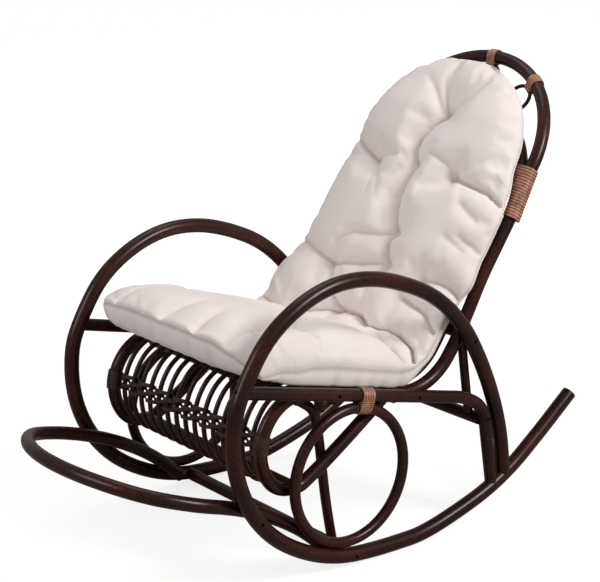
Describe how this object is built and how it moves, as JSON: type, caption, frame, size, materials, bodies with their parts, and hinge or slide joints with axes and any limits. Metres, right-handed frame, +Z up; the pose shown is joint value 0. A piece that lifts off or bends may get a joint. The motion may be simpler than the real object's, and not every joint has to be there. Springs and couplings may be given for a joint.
{
  "type": "rattan rocking chair",
  "caption": "Rattan rocking chair of bent round poles with arm-and-runner loops, a hoop footrest, a hooped headrest and one long tufted cushion.",
  "frame": {"origin": "on the floor under the middle of the chair, where its box is centred", "axes": "+Z up, -Y the way the sitter faces, +X the sitter's left; the longest side lies along Y and the shortest along X"},
  "size_m": [0.6036, 1.1724, 0.9406],
  "materials": {
    "stained_rattan": "gloss",
    "cane_binding": "satin",
    "cotton_cover": "matte",
    "nail_steel": "satin"
  },
  "bodies": {
    "chair_frame": {"back_lower_bar": "stained_rattan", "back_upper_bar": "stained_rattan", "bottom_stretcher": "stained_rattan", "braid_band": "cane_binding", "cane_01": "stained_rattan", "cane_02": "stained_rattan", "cane_03": "stained_rattan", "cane_04": "stained_rattan", "cane_05": "stained_rattan", "cane_06": "stained_rattan", "cane_07": "stained_rattan", "cane_08": "stained_rattan", "cane_09": "stained_rattan", "cane_10": "stained_rattan", "cane_11": "stained_rattan", "cane_12": "stained_rattan", "cane_13": "stained_rattan", "cane_14": "stained_rattan", "cane_15": "stained_rattan", "footrest_hoop": "stained_rattan", "front_lower_bar": "stained_rattan", "front_strut_left": "stained_rattan", "front_upper_bar": "stained_rattan", "headrest_binding_left": "cane_binding", "headrest_binding_middle": "cane_binding", "headrest_binding_right": "cane_binding", "headrest_hoop": "stained_rattan", "headrest_ring_left": "stained_rattan", "headrest_ring_middle": "stained_rattan", "headrest_ring_right": "stained_rattan", "inner_back_arch": "stained_rattan", "nails": "nail_steel", "neck_wrap_left": "cane_binding", "neck_wrap_right": "cane_binding", "rail_binding_left": "cane_binding", "rail_binding_right": "cane_binding", "rear_cross_bar": "stained_rattan", "rear_prop_left": "stained_rattan", "rear_prop_right": "stained_rattan", "seat_back_pole_left": "stained_rattan", "seat_back_pole_right": "stained_rattan", "seat_rail_left": "stained_rattan", "seat_rail_right": "stained_rattan", "seat_rear_bar": "stained_rattan", "side_loop_left": "stained_rattan", "side_loop_right": "stained_rattan", "side_ring_left": "stained_rattan", "side_ring_right": "stained_rattan"},
    "seat_cushion": {"cushion": "cotton_cover"}
  },
  "joints": [
    {"name": "cushion_lift", "type": "slide", "parent": "chair_frame", "child": "seat_cushion", "axis": [0, -0.5, 0.866], "range_m": [0, 0.35]}
  ]
}
